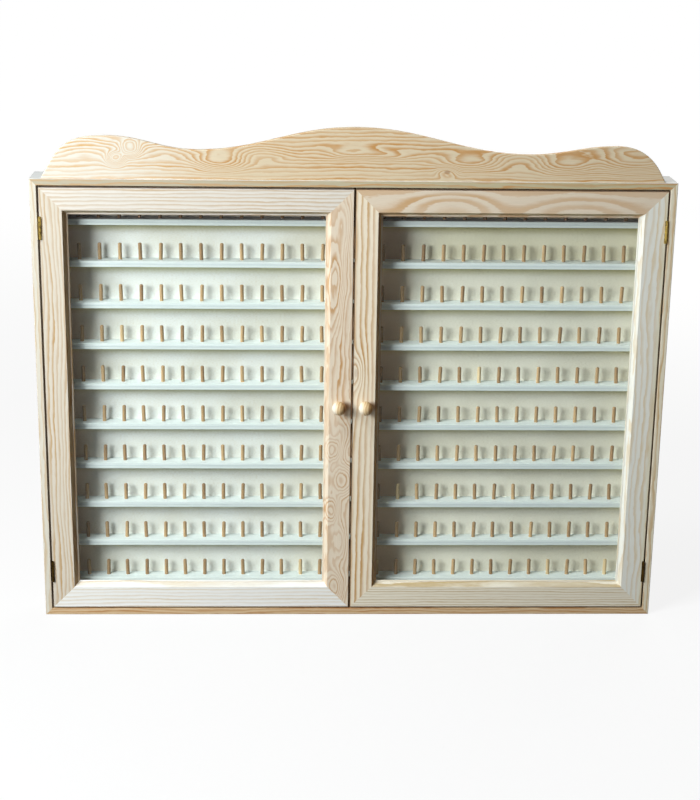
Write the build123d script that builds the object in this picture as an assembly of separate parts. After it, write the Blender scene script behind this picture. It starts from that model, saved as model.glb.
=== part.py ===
from build123d import *
from math import cos, radians, sin
import os

# Wall display case for thimbles: a shallow pine case, ten pegged shelves, a curved crest board and
# two glazed doors. Millimetres. X runs to the right, Y to the back, Z up, and the origin is the
# middle of the underside. Everything on the right is mirrored for the left.

# Case
case_width = 850.0
case_height = 612.0
case_depth = 60.0
board_thick = 9.0
back_thick = 4.0
rebate_width = 5.0  # how far the back panel laps onto each board
groove_depth = 3.0  # shelf ends let into the sides
board_round = 0.8  # front edges

# Shelves and pegs
shelf_count = 10
shelf_pitch = 56.7
shelf_thick = 8.0
shelf_setback = 31.0  # case front to shelf front
shelf_round = 0.6  # front edges
head_room = 49.0  # top shelf to the underside of the top board
peg_count = 30
peg_pitch = 27.2
peg_diameter = 5.0
peg_height = 22.5
peg_tenon = 5.0
peg_setback = 13.8  # shelf front to peg axis
peg_round = 1.7
peg_lean = 1.6  # degrees, the most that a peg stands off square

# Crest board: heights above the case, distances from the middle
crest_thick = 9.0
crest_setback = 1.5
crest_round = 1.1  # curved edges, front and back
crest_peak = 69.0
crest_left = dict(valley=207.0, valley_height=38.5, shoulder=325.0, shoulder_height=56.0,
                  end=410.0, run_out=58.0, rise=41.0)
crest_right = dict(valley=229.0, valley_height=35.3, shoulder=343.0, shoulder_height=47.0,
                   end=408.5, run_out=46.0, rise=16.0)
crest_softness = 0.4  # share of each stretch over which the curve stays level
crest_end_angle = 60.0
crest_screw_places = (120.0, 320.0)

# Doors
door_gap = 2.2
door_thick = 15.0
stile_flat = 30.0
bevel_run = 4.1
bevel_depth = 7.7
quirk = 0.8
lip_width = 2.7
lip_round = 1.0
edge_round = 0.7
glass_setback = 10.2
glass_thick = 2.0
glass_rebate = 7.0
glass_clearance = 0.5
bead_width = 4.5
bead_round = 1.0

# Knobs
knob_diameter = 19.0
knob_inset = 17.0  # door edge to knob axis
knob_neck_radius = 4.8
knob_foot_radius = 6.2
knob_foot_thick = 1.6
knob_neck_length = 3.4

# Hinges
hinge_length = 30.0
hinge_inset = 53.7  # door end to hinge middle
hinge_knuckles = 5
hinge_pin_radius = 0.9
hinge_barrel_radius = 1.8
hinge_leaf_thick = 0.8
hinge_leaf_width = 10.0
hinge_running = 0.05
hinge_end_play = 0.2
hinge_sweep_room = 0.25
hinge_axis_inset = 1.0  # door edge to pin axis
hinge_axis_forward = 1.0  # case front to pin axis
hinge_screw_spread = 16.0
hinge_screw_setback = 7.0  # case front to screws
hinge_arm_setback = 2.5  # case front to where the case leaf's plate begins
hinge_arm_clear = 0.3  # pin to the door leaf's arm
pin_head = 0.6

# Catches
catch_place = 30.0  # middle of the case to the middle of each catch
catch_gap = 0.2
catch_length = 24.0
catch_depth = 13.0
catch_height = 14.0
catch_lug_length = 8.0
catch_lug_thick = 3.0
catch_wall = 2.0
catch_proud = 0.5  # how far the magnet stands out of its housing
magnet_length = 18.0
magnet_thick = 3.6
pole_thick = 1.2
strike_length = 26.0
strike_height = 11.0
strike_thick = 1.0
strike_margin = 1.0  # door top to the plate

# Hanging plates on the back
hanger_spacing = 600.0
hanger_thick = 1.5
hanger_hole_radius = 3.5
hanger_rim = 5.5
hanger_rise = 8.0  # case top to the hole
hanger_screw_spread = 28.0
hanger_foot_radius = 5.0

# Fasteners: shank diameter, length, head diameter
small_screw = (2.2, 8.0, 3.8)
long_screw = (3.5, 26.0, 7.0)
hanger_screw = (2.4, 14.0, 4.6)
panel_pin = (1.2, 12.0, 2.4)
panel_pin_head = 0.5
pins_across = 6
pin_margin = 45.0
cross_width = 0.16  # driver recess, as a share of the head diameter
cross_length = 0.56
cross_depth = 0.18
past = 1.0  # how far a cut runs past the face it opens

# Worked out from the sizes above
front = -case_depth / 2
rear = case_depth / 2
panel_front = rear - back_thick
side_face = case_width / 2 - board_thick
shelf_front = front + shelf_setback
door_top = case_height - board_thick - door_gap
door_bottom = board_thick + door_gap
door_inner = door_gap / 2
door_outer = side_face - door_gap
door_back = front + door_thick
stile_width = stile_flat + bevel_run + lip_width
ledge_middle = board_thick - rebate_width / 2
hinge_x = door_outer - hinge_axis_inset
hinge_y = front - hinge_axis_forward
hinge_heights = (door_top - hinge_inset, door_bottom + hinge_inset)
first_shelf_top = case_height - board_thick - head_room
shelf_tops = [first_shelf_top - k * shelf_pitch for k in range(shelf_count)]
catch_front = door_back + strike_thick + catch_gap
strike_middle = door_top - strike_margin - strike_height / 2


def block(x0, x1, y0, y1, z0, z1):
    centre = ((x0 + x1) / 2, (y0 + y1) / 2, (z0 + z1) / 2)
    return Pos(*centre) * Box(x1 - x0, y1 - y0, z1 - z0)


def slab(outline, y0, y1):
    """Solid between y0 and y1 whose outline is a list of (x, z) corners."""
    face = make_face(Polyline(*[(x, y1, z) for x, z in outline], close=True))
    return extrude(face, amount=y1 - y0, dir=(0, -1, 0))


def left_of(solid):
    return mirror(solid, about=Plane.YZ)


def ease(board, axis, radius):
    """Rounds the two front edges that run along the axis."""
    return fillet(board.edges().filter_by(axis).group_by(Axis.Y)[0], radius)


def rod(start, direction, radius, length):
    return Plane(origin=start, z_dir=direction) * Cylinder(
        radius, length, align=(Align.CENTER, Align.CENTER, Align.MIN))


def screw_shape(place, direction, size):
    """Countersunk wood screw: the flush head at place, the point along direction."""
    diameter, length, head = size
    shank = diameter / 2
    sink = (head - diameter) / 2
    outline = [(0, 0), (head / 2, 0), (shank, sink), (shank, length - diameter), (0, length)]
    face = make_face(Polyline(*[(r, 0, a) for r, a in outline], close=True))
    return Plane(origin=place, z_dir=direction) * revolve(face, Axis.Z)


def screw(place, direction, size):
    head = size[2]
    slot = Box(head * cross_length, head * cross_width, 2 * head * cross_depth)
    cross = Plane(origin=place, z_dir=direction) * (slot + Rot(0, 0, 90) * slot)
    return screw_shape(place, direction, size) - cross


def save(node, *solids):
    shape = solids[0] if len(solids) == 1 else Compound(children=list(solids))
    shape.label = node
    export_step(shape, f"parts/{node}.step")


# Where the fasteners go: each is a place and the direction of its point.

def crest_screw_spots():
    y = front + crest_setback + crest_thick / 2
    z = case_height - board_thick
    return [((s * x, y, z), (0, 0, 1)) for s in (-1, 1) for x in crest_screw_places]


def panel_pin_spots():
    across = case_width / 2 - ledge_middle
    spots = []
    for n in range(pins_across):
        x = (pin_margin - across) + n * 2 * (across - pin_margin) / (pins_across - 1)
        spots += [(x, ledge_middle), (x, case_height - ledge_middle)]
    for top in shelf_tops[::2]:
        z = top + (shelf_pitch - shelf_thick) / 2  # half way between two shelves
        spots += [(-across, z), (across, z)]
    return [((x, rear, z), (0, -1, 0)) for x, z in spots]


def hanger_screw_spots():
    z = case_height - ledge_middle
    half = hanger_screw_spread / 2
    places = [s * hanger_spacing / 2 + t * half for s in (-1, 1) for t in (-1, 1)]
    return [((x, rear + hanger_thick, z), (0, -1, 0)) for x in places]


def case_hinge_screw_spots():
    y = front + hinge_screw_setback
    spots = []
    for z in hinge_heights:
        for t in (-1, 1):
            place = (side_face - hinge_leaf_thick, y, z + t * hinge_screw_spread / 2)
            spots.append((place, (1, 0, 0)))
    return spots


def door_hinge_screw_spots():
    return [((door_outer, y, z), (-1, 0, 0)) for (_, y, z), _ in case_hinge_screw_spots()]


def catch_screw_spots():
    reach = catch_length / 2 + catch_lug_length / 2
    y = catch_front + catch_proud + catch_depth / 2
    z = case_height - board_thick - catch_lug_thick
    return [((catch_place + t * reach, y, z), (0, 0, 1)) for t in (-1, 1)]


def strike_screw_spot():
    return ((catch_place, door_back + strike_thick, strike_middle), (0, -1, 0))


def knob_screw_spot():
    return ((door_inner + knob_inset, door_back, case_height / 2), (0, -1, 0))


# Case

def panel_space():
    reach = case_width / 2 - board_thick + rebate_width
    low = board_thick - rebate_width
    return block(-reach, reach, panel_front, rear, low, case_height - low)


def shelf_block(top):
    reach = side_face + groove_depth
    return block(-reach, reach, shelf_front, panel_front, top - shelf_thick, top)


def pin_shape(place, direction):
    diameter, length, head = panel_pin
    nail = rod(place, direction, diameter / 2, length)
    return nail + rod(place, direction, head / 2, panel_pin_head)


def make_case():
    half = case_width / 2
    far = case_height
    top = slab([(-half, far), (half, far), (side_face, far - board_thick),
                (-side_face, far - board_thick)], front, rear)
    bottom = slab([(-half, 0), (half, 0), (side_face, board_thick),
                   (-side_face, board_thick)], front, rear)
    right = slab([(half, 0), (half, far), (side_face, far - board_thick),
                  (side_face, board_thick)], front, rear)
    top = ease(top, Axis.X, board_round)
    bottom = ease(bottom, Axis.X, board_round)
    right = ease(right, Axis.Z, board_round)
    panel = panel_space()
    pins = [pin_shape(*spot) for spot in panel_pin_spots()]
    hanging = [screw_shape(*spot, hanger_screw) for spot in hanger_screw_spots()]
    crest_fix = [screw_shape(*spot, long_screw) for spot in crest_screw_spots()]
    catch_fix = [screw_shape(*spot, small_screw) for spot in catch_screw_spots()]
    catch_fix += [left_of(s) for s in catch_fix]
    hinge_fix = [screw_shape(*spot, small_screw) for spot in case_hinge_screw_spots()]
    grooves = [shelf_block(z) for z in shelf_tops]
    top_pins = [p for p in pins if p.center().Z > case_height - board_thick]
    bottom_pins = [p for p in pins if p.center().Z < board_thick]
    right_pins = [p for p in pins if p.center().X > side_face]
    left_pins = [p for p in pins if p.center().X < -side_face]
    save("top_board", top - panel - top_pins - hanging - crest_fix - catch_fix)
    save("bottom_board", bottom - panel - bottom_pins)
    save("right_side", right - panel - grooves - right_pins - hinge_fix)
    save("left_side", left_of(right - panel - hinge_fix) - grooves - left_pins)
    save("back_panel", panel - pins - hanging)
    save("back_panel_pins", *pins)
    save("crest_screws", *[screw(*spot, long_screw) for spot in crest_screw_spots()])
    save("hanging_plate_screws", *[screw(*spot, hanger_screw) for spot in hanger_screw_spots()])


def crest_side(sign, valley, valley_height, shoulder, shoulder_height, end, run_out, rise):
    """Curves from the middle of the crest to one end: down, up, then round the end."""
    soft = crest_softness * valley
    down = Bezier((0, 0, crest_peak), (sign * soft, 0, crest_peak),
                  (sign * (valley - soft), 0, valley_height), (sign * valley, 0, valley_height))
    soft = crest_softness * (shoulder - valley)
    up = Bezier((sign * valley, 0, valley_height), (sign * (valley + soft), 0, valley_height),
                (sign * (shoulder - soft), 0, shoulder_height),
                (sign * shoulder, 0, shoulder_height))
    angle = radians(crest_end_angle)
    over = Bezier((sign * shoulder, 0, shoulder_height),
                  (sign * (shoulder + run_out), 0, shoulder_height),
                  (sign * (end - rise * cos(angle)), 0, rise * sin(angle)), (sign * end, 0, 0))
    return [down, up, over]


def make_crest():
    left = crest_side(-1, **crest_left)
    right = crest_side(1, **crest_right)
    foot = Line((-crest_left["end"], 0, 0), (crest_right["end"], 0, 0))
    face = make_face(left + right + [foot])
    face = Pos(0, front + crest_setback + crest_thick, case_height) * face
    crest = extrude(face, amount=crest_thick, dir=(0, -1, 0))
    crest = fillet(crest.edges().filter_by(GeomType.LINE, reverse=True), crest_round)
    save("crest_board", crest - [screw_shape(*spot, long_screw) for spot in crest_screw_spots()])


# Shelves and pegs

def peg_axis(row, column, top):
    """Foot and direction of one peg. The holes are drilled by hand, so each leans a little."""
    across = peg_lean * sin(2.4 * column + 1.7 * row + 0.6 * sin(1.3 * column * (row + 1)))
    away = peg_lean * cos(1.9 * column - 2.3 * row)
    foot = ((column - (peg_count - 1) / 2) * peg_pitch, shelf_front + peg_setback, top)
    return foot, (sin(radians(across)), sin(radians(away)), 1)


def make_shelf(row):
    top = shelf_tops[row]
    pegs, holes = [], []
    for column in range(peg_count):
        foot, lean = peg_axis(row, column, top)
        stand = Plane(origin=foot, z_dir=lean)
        low = (Align.CENTER, Align.CENTER, Align.MIN)
        dowel = Cylinder(peg_diameter / 2, peg_height + peg_tenon, align=low)
        dowel = fillet(dowel.edges().group_by(Axis.Z)[-1], peg_round)
        drill = Cylinder(peg_diameter / 2, peg_tenon + peg_diameter, align=low)
        pegs.append(stand * Pos(0, 0, -peg_tenon) * dowel)
        holes.append(stand * Pos(0, 0, -peg_tenon) * drill)
    board = ease(shelf_block(top), Axis.X, shelf_round)
    save(f"shelf_{row + 1:02d}", board - holes)
    save(f"pegs_{row + 1:02d}", *pegs)


# Doors, made for the right side

def frame_section():
    """Corners (in from the outer edge, back from the front) and their radii."""
    lip_depth = bevel_depth + quirk
    bevel_end = stile_flat + bevel_run
    return [
        ((0, 0), edge_round),
        ((stile_flat, 0), 0),
        ((bevel_end, bevel_depth), 0),
        ((bevel_end, lip_depth), 0),
        ((stile_width, lip_depth), lip_round),
        ((stile_width, glass_setback), 0),
        ((stile_width - glass_rebate, glass_setback), 0),
        ((stile_width - glass_rebate, door_thick), 0),
        ((0, door_thick), edge_round),
    ]


def mitred(section, side, reach):
    """A frame member with this section, mitred at both ends; reach is how far in the mitre goes."""
    x0, x1, z0, z1 = door_inner, door_outer, door_bottom, door_top
    place = {
        "inner": lambda u, v: (x0 + u, front + v, z0),
        "outer": lambda u, v: (x1 - u, front + v, z0),
        "bottom": lambda u, v: (x0, front + v, z0 + u),
        "top": lambda u, v: (x0, front + v, z1 - u),
    }[side]
    mitre = {
        "inner": [(x0, z0), (x0 + reach, z0 + reach), (x0 + reach, z1 - reach), (x0, z1)],
        "outer": [(x1, z0), (x1 - reach, z0 + reach), (x1 - reach, z1 - reach), (x1, z1)],
        "bottom": [(x0, z0), (x0 + reach, z0 + reach), (x1 - reach, z0 + reach), (x1, z0)],
        "top": [(x0, z1), (x0 + reach, z1 - reach), (x1 - reach, z1 - reach), (x1, z1)],
    }[side]
    upright = side in ("inner", "outer")
    along = (0, 0, 1) if upright else (1, 0, 0)
    corners = [place(*corner) for corner, _ in section]
    radii = [radius for _, radius in section]
    face = make_face(FilletPolyline(*corners, radius=radii, close=True))
    length = z1 - z0 if upright else x1 - x0
    member = extrude(face, amount=length, dir=along)
    return member & slab(mitre, front - past, door_back + past)


def frame_member(side):
    return mitred(frame_section(), side, stile_width)


def glazing_bead(side):
    start = stile_width - glass_rebate
    end = start + bead_width
    near = glass_setback + glass_thick
    section = [((start, near), 0), ((end, near), 0), ((end, door_thick), bead_round),
               ((start, door_thick), 0)]
    return mitred(section, side, end)


def hinge_clearance():
    """Room in the door's edge for the barrels to turn in, and for the door leaves to lie flush."""
    cuts = []
    for z in hinge_heights:
        low = z - hinge_length / 2
        high = z + hinge_length / 2
        room = hinge_barrel_radius + hinge_sweep_room
        cuts.append(rod((hinge_x, hinge_y, low - hinge_end_play), (0, 0, 1), room,
                        hinge_length + 2 * hinge_end_play))
        cuts.append(block(door_outer - hinge_leaf_thick, door_outer + past, front - past,
                          front + hinge_leaf_width, low, high))
    return cuts


def knob():
    ball = knob_diameter / 2
    neck_end = knob_foot_thick + knob_neck_length
    middle = neck_end + (ball ** 2 - knob_neck_radius ** 2) ** 0.5
    tip = middle + ball
    outline = [
        Line((0, 0, 0), (knob_foot_radius, 0, 0)),
        Line((knob_foot_radius, 0, 0), (knob_neck_radius, 0, knob_foot_thick)),
        Line((knob_neck_radius, 0, knob_foot_thick), (knob_neck_radius, 0, neck_end)),
        ThreePointArc((knob_neck_radius, 0, neck_end), (ball, 0, middle), (0, 0, tip)),
        Line((0, 0, tip), (0, 0, 0)),
    ]
    turned = revolve(make_face(outline), Axis.Z)
    (x, _, z), out = knob_screw_spot()
    return Plane(origin=(x, front, z), z_dir=out) * turned


def make_door():
    hinge_cuts = hinge_clearance()
    hinge_fix = [screw_shape(*spot, small_screw) for spot in door_hinge_screw_spots()]
    knob_fix = screw_shape(*knob_screw_spot(), long_screw)
    strike_fix = screw_shape(*strike_screw_spot(), small_screw)
    reach = stile_width - glass_rebate + glass_clearance
    pane = block(door_inner + reach, door_outer - reach, front + glass_setback,
                 front + glass_setback + glass_thick, door_bottom + reach, door_top - reach)
    plate = block(catch_place - strike_length / 2, catch_place + strike_length / 2, door_back,
                  door_back + strike_thick, strike_middle - strike_height / 2,
                  strike_middle + strike_height / 2)
    pieces = {
        "hinge_stile": [frame_member("outer") - hinge_cuts - hinge_fix],
        "lock_stile": [frame_member("inner") - knob_fix],
        "top_rail": [frame_member("top") - strike_fix],
        "bottom_rail": [frame_member("bottom")],
        "glass": [pane],
        "glazing_beads": [glazing_bead(side) for side in ("inner", "outer", "top", "bottom")],
        "knob": [knob() - knob_fix],
        "knob_screw": [screw(*knob_screw_spot(), long_screw)],
        "strike_plate": [plate - strike_fix],
        "hinge_leaves": [door_leaf(z) for z in hinge_heights],
        "small_screws": [screw(*spot, small_screw)
                         for spot in door_hinge_screw_spots() + [strike_screw_spot()]],
    }
    for name, solids in pieces.items():
        save(f"right_door_{name}", *solids)
        save(f"left_door_{name}", *[left_of(solid) for solid in solids])


# Hinges, made for the right side

def knuckle_span(index, middle):
    pitch = hinge_length / hinge_knuckles
    low = middle - hinge_length / 2 + index * pitch
    return low + hinge_end_play / 2, low + pitch - hinge_end_play / 2


def knuckle(index, middle, arm):
    """One knuckle, solid, with the arm that joins it to its leaf; arm is a list of (x, y)."""
    low, high = knuckle_span(index, middle)
    barrel = rod((hinge_x, hinge_y, low), (0, 0, 1), hinge_barrel_radius, high - low)
    face = make_face(Polyline(*[(x, y, low) for x, y in arm], close=True))
    return barrel + extrude(face, amount=high - low, dir=(0, 0, 1))


def pin_bore(middle, radius):
    reach = hinge_length / 2 + past
    return rod((hinge_x, hinge_y, middle - reach), (0, 0, 1), radius, 2 * reach)


def case_leaf(middle):
    half = hinge_length / 2
    start = front + hinge_arm_setback
    plate = block(side_face - hinge_leaf_thick, side_face, start,
                  front + hinge_leaf_width, middle - half, middle + half)
    tangent = hinge_x + hinge_barrel_radius
    arm = [(tangent - hinge_leaf_thick, hinge_y), (tangent, hinge_y), (side_face, start),
           (side_face, start + hinge_leaf_thick), (side_face - hinge_leaf_thick, start)]
    for index in range(0, hinge_knuckles, 2):
        plate += knuckle(index, middle, arm)
    fixings = [screw_shape(*spot, small_screw) for spot in case_hinge_screw_spots()]
    return plate - pin_bore(middle, hinge_pin_radius) - fixings


def door_leaf(middle):
    half = hinge_length / 2
    start = hinge_y + hinge_barrel_radius + hinge_end_play
    plate = block(door_outer - hinge_leaf_thick, door_outer, start,
                  front + hinge_leaf_width, middle - half, middle + half)
    near = hinge_y + hinge_pin_radius + hinge_arm_clear
    arm = [(door_outer - hinge_leaf_thick, near), (door_outer, near),
           (door_outer, start + hinge_leaf_thick),
           (door_outer - hinge_leaf_thick, start + hinge_leaf_thick)]
    for index in range(1, hinge_knuckles, 2):
        plate += knuckle(index, middle, arm)
    fixings = [screw_shape(*spot, small_screw) for spot in door_hinge_screw_spots()]
    return plate - pin_bore(middle, hinge_pin_radius + hinge_running) - fixings


def hinge_pin(middle):
    length = hinge_length + 2 * pin_head
    pin = Cylinder(hinge_pin_radius, length)
    pin = fillet(pin.edges().filter_by(GeomType.CIRCLE), hinge_pin_radius * 0.6)
    return Pos(hinge_x, hinge_y, middle) * pin


def make_hinges():
    leaves = [case_leaf(z) for z in hinge_heights]
    pins = [hinge_pin(z) for z in hinge_heights]
    save("right_hinge_case_leaves", *leaves)
    save("left_hinge_case_leaves", *[left_of(leaf) for leaf in leaves])
    save("hinge_pins", *pins, *[left_of(pin) for pin in pins])


# Catches and hanging plates

def make_catches():
    ceiling = case_height - board_thick
    y0 = catch_front + catch_proud
    half = catch_length / 2
    shell = block(catch_place - half, catch_place + half, y0, y0 + catch_depth,
                  ceiling - catch_height, ceiling)
    reach = half + catch_lug_length
    shell += block(catch_place - reach, catch_place + reach, y0, y0 + catch_depth,
                   ceiling - catch_lug_thick, ceiling)
    stack = magnet_thick / 2
    stack_top = stack + pole_thick
    x0, x1 = catch_place - magnet_length / 2, catch_place + magnet_length / 2
    y1 = y0 + catch_depth - catch_wall
    z = strike_middle
    magnet = block(x0, x1, y0, y1, z - stack, z + stack)
    poles = [block(x0, x1, catch_front, y1, z + stack, z + stack_top),
             block(x0, x1, catch_front, y1, z - stack_top, z - stack)]
    pocket = block(x0, x1, y0, y1, z - stack_top, z + stack_top)
    fixings = [screw_shape(*spot, small_screw) for spot in catch_screw_spots()]
    housing = shell - pocket - fixings
    save("catch_housings", housing, left_of(housing))
    stacks = [magnet] + poles
    save("catch_magnets", *stacks, *[left_of(piece) for piece in stacks])
    screws = [screw(*spot, small_screw) for spot in case_hinge_screw_spots() + catch_screw_spots()]
    save("case_small_screws", *screws, *[left_of(piece) for piece in screws])


def make_hanging_plates():
    plates = []
    foot = case_height - ledge_middle
    for s in (-1, 1):
        middle = s * hanger_spacing / 2
        spots = [(middle, case_height + hanger_rise, hanger_hole_radius + hanger_rim)]
        spots += [(middle + t * hanger_screw_spread / 2, foot, hanger_foot_radius) for t in (-1, 1)]
        circles = Sketch() + [Pos(x, z) * Circle(r) for x, z, r in spots]
        outline = make_hull(circles.edges()) - Pos(*spots[0][:2]) * Circle(hanger_hole_radius)
        plate = Plane(origin=(0, rear, 0), x_dir=(1, 0, 0), z_dir=(0, -1, 0)) * outline
        plate = extrude(plate, amount=hanger_thick, dir=(0, 1, 0))
        plates.append(plate - [screw_shape(*spot, hanger_screw) for spot in hanger_screw_spots()])
    save("hanging_plates", *plates)


os.makedirs("parts", exist_ok=True)
make_case()
make_crest()
for shelf_row in range(shelf_count):
    make_shelf(shelf_row)
make_door()
make_hinges()
make_catches()
make_hanging_plates()
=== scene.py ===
import math

import bpy
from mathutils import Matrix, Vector


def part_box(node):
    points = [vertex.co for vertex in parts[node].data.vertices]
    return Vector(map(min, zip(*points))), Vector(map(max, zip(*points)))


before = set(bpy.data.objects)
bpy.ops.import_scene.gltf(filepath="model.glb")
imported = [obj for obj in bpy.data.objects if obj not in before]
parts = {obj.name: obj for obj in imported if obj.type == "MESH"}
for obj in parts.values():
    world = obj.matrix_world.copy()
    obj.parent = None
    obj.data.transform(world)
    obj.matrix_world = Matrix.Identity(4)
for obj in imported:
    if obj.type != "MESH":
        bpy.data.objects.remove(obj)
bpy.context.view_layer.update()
print("frame loaded:", len(parts), "pieces")


# Camera: slightly above the case, looking down at it, as in the photograph

cameraSettings = {
    "place": (-0.1028, -2.3951, 0.9961),
    "turn": (71.966, -0.720, -1.819),  # degrees
    "imageSize": (700, 800),
    "focalPixels": 1813.8,
    "axisPixel": (338.05, 462.09),  # where the lens axis meets the picture
    "sensor": 36.0,
}


def makeCamera(settings):
    wide, high = settings["imageSize"]
    data = bpy.data.cameras.new("photoCamera")
    data.sensor_width = settings["sensor"]
    data.lens = settings["focalPixels"] / high * settings["sensor"]
    data.shift_x = (wide / 2 - settings["axisPixel"][0]) / high
    data.shift_y = (settings["axisPixel"][1] - high / 2) / high
    camera = bpy.data.objects.new("photoCamera", data)
    camera.location = settings["place"]
    camera.rotation_euler = [math.radians(angle) for angle in settings["turn"]]
    bpy.context.scene.collection.objects.link(camera)
    bpy.context.scene.camera = camera


makeCamera(cameraSettings)
bpy.context.scene.view_settings.view_transform = "Standard"
print("camera set")


# Node helpers. The shaders reckon in millimetres, the frame is in metres.

perMetre = 1000.0


def feed(tree, socket, value):
    if isinstance(value, bpy.types.NodeSocket):
        tree.links.new(value, socket)
    else:
        socket.default_value = value


def put(tree, kind, inputs=None, **settings):
    node = tree.nodes.new("ShaderNode" + kind)
    for name, value in settings.items():
        setattr(node, name, value)
    for name, value in (inputs or {}).items():
        feed(tree, node.inputs[name], value)
    return node


def reckon(tree, operation, *values):  # one Math node
    node = put(tree, "Math", operation=operation)
    for socket, value in zip(node.inputs, values):
        feed(tree, socket, value)
    return node.outputs[0]


def stretch(tree, vector, lengths, offset=None):  # millimetres to noise cells of these lengths
    scaled = put(tree, "VectorMath", operation="DIVIDE")
    feed(tree, scaled.inputs[0], vector)
    feed(tree, scaled.inputs[1], lengths)
    if offset is None:
        return scaled.outputs[0]
    moved = put(tree, "VectorMath", operation="ADD")
    feed(tree, moved.inputs[0], scaled.outputs[0])
    feed(tree, moved.inputs[1], offset)
    return moved.outputs[0]


def noise(tree, vector, detail=2.0, roughness=0.5):
    return put(tree, "TexNoise", {"Vector": vector, "Scale": 1.0, "Detail": detail,
                                  "Roughness": roughness})


def ramp(tree, value, low, high, start=0.0, end=1.0, smooth=True):
    node = put(tree, "MapRange", {"Value": value, "From Min": low, "From Max": high,
                                  "To Min": start, "To Max": end})
    node.interpolation_type = "SMOOTHSTEP" if smooth else "LINEAR"
    return node.outputs["Result"]


def mixColors(tree, factor, first, second, mode="MIX"):
    node = put(tree, "Mix", data_type="RGBA", blend_type=mode)
    feed(tree, node.inputs[0], factor)
    feed(tree, node.inputs[6], first)
    feed(tree, node.inputs[7], second)
    return node.outputs[2]


def tint(tree, mask, color, shade):  # the shade multiplies the colour where the mask is 1
    return mixColors(tree, mask, color, tone(*shade), "MULTIPLY")


def axes(tree, vector):
    return put(tree, "SeparateXYZ", {"Vector": vector}).outputs


def awayFrom(tree, value, middle):
    return reckon(tree, "ABSOLUTE", reckon(tree, "SUBTRACT", value, middle))


def tone(red, green, blue):  # screen values, 0 to 255, to a linear colour
    channels = []
    for value in (red, green, blue):
        share = value / 255
        channels.append(share / 12.92 if share < 0.04045 else ((share + 0.055) / 1.055) ** 2.4)
    return (*channels, 1.0)


def newGroup(name, inputs, outputs):
    tree = bpy.data.node_groups.new(name, "ShaderNodeTree")
    for label, kind, value in inputs:
        socket = tree.interface.new_socket(label, in_out="INPUT", socket_type="NodeSocket" + kind)
        if value is not None:
            socket.default_value = value
    for label, kind in outputs:
        tree.interface.new_socket(label, in_out="OUTPUT", socket_type="NodeSocket" + kind)
    start = tree.nodes.new("NodeGroupInput").outputs
    end = tree.nodes.new("NodeGroupOutput").inputs
    return tree, start, end


def fillGroup(tree, name, inputs):
    node = tree.nodes.new("ShaderNodeGroup")
    node.node_tree = bpy.data.node_groups[name]
    for label, value in inputs.items():
        feed(tree, node.inputs[label], value)
    return node.outputs


def newMaterial(name):
    material = bpy.data.materials.new(name)
    material.use_nodes = True
    tree = material.node_tree
    return material, tree, tree.nodes["Principled BSDF"]


def millimetres(tree):  # object coordinates, which are the case's own, in millimetres
    coordinates = put(tree, "TexCoord")
    node = put(tree, "VectorMath", {"Scale": perMetre}, operation="SCALE")
    feed(tree, node.inputs[0], coordinates.outputs["Object"])
    return node.outputs[0]


def facing(tree):  # the way a piece's own surface faces, in the frame's axes
    return axes(tree, put(tree, "TexCoord").outputs["Normal"])


def lay(tree, vector, order):  # turns the axes so that X runs along the grain
    split = axes(tree, vector)
    joined = put(tree, "CombineXYZ")
    for socket, axis in zip(joined.inputs, order):
        feed(tree, socket, split[axis])
    return joined.outputs[0]


def finishSurface(tree, surface, color, roughness, height, settings):
    feed(tree, surface.inputs["Base Color"], color)
    feed(tree, surface.inputs["Roughness"], roughness)
    feed(tree, surface.inputs["Normal"], put(tree, "Bump", {
        "Height": height, "Strength": settings["bump"],
        "Distance": settings["bumpDepth"]}).outputs["Normal"])
    if "specular" in settings:
        surface.inputs["Specular IOR Level"].default_value = settings["specular"]


def dress(material, *names):
    for name in names:
        slots = parts[name].data.materials
        slots.clear()
        slots.append(material)


# Shared effects. A noise's cell lengths are in millimetres; four numbers are a ramp's
# start and end, and what it gives there.

ringSettings = {
    "seedTurn": (3.7, 1.3), "driftReach": 4.0, "swayReach": 4.0, "raggedReach": 0.22,
    "slowCells": (230.0, 60.0, 60.0), "waveCells": (42.0, 9.0, 9.0),
    "raggedCells": (8.0, 1.6, 1.6), "cloudCells": (130.0, 26.0, 26.0),
    "fibreCells": (22.0, 0.55, 0.55), "fleckCells": (5.0, 0.3, 0.3),
    "yearEnd": (0.88, 1.0, 1.0, 0.0), "yearLuck": (0.0, 1.0, 0.5, 1.0),
    "cloudLate": (0.3, 0.7, 0.65, 1.2), "fleckShare": (0.70, 0.78), "knot": (150, 96, 52),
    "fibreShade": (0.25, 0.75, 0.93, 1.04), "cloudShade": (0.2, 0.8, 0.97, 1.02),
    "fleckShade": 0.10, "lateHeight": 0.5, "fibreRoughness": (0.2, 0.8, 0.50, 0.66),
    "lateRoughness": 0.06,
}


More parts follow.
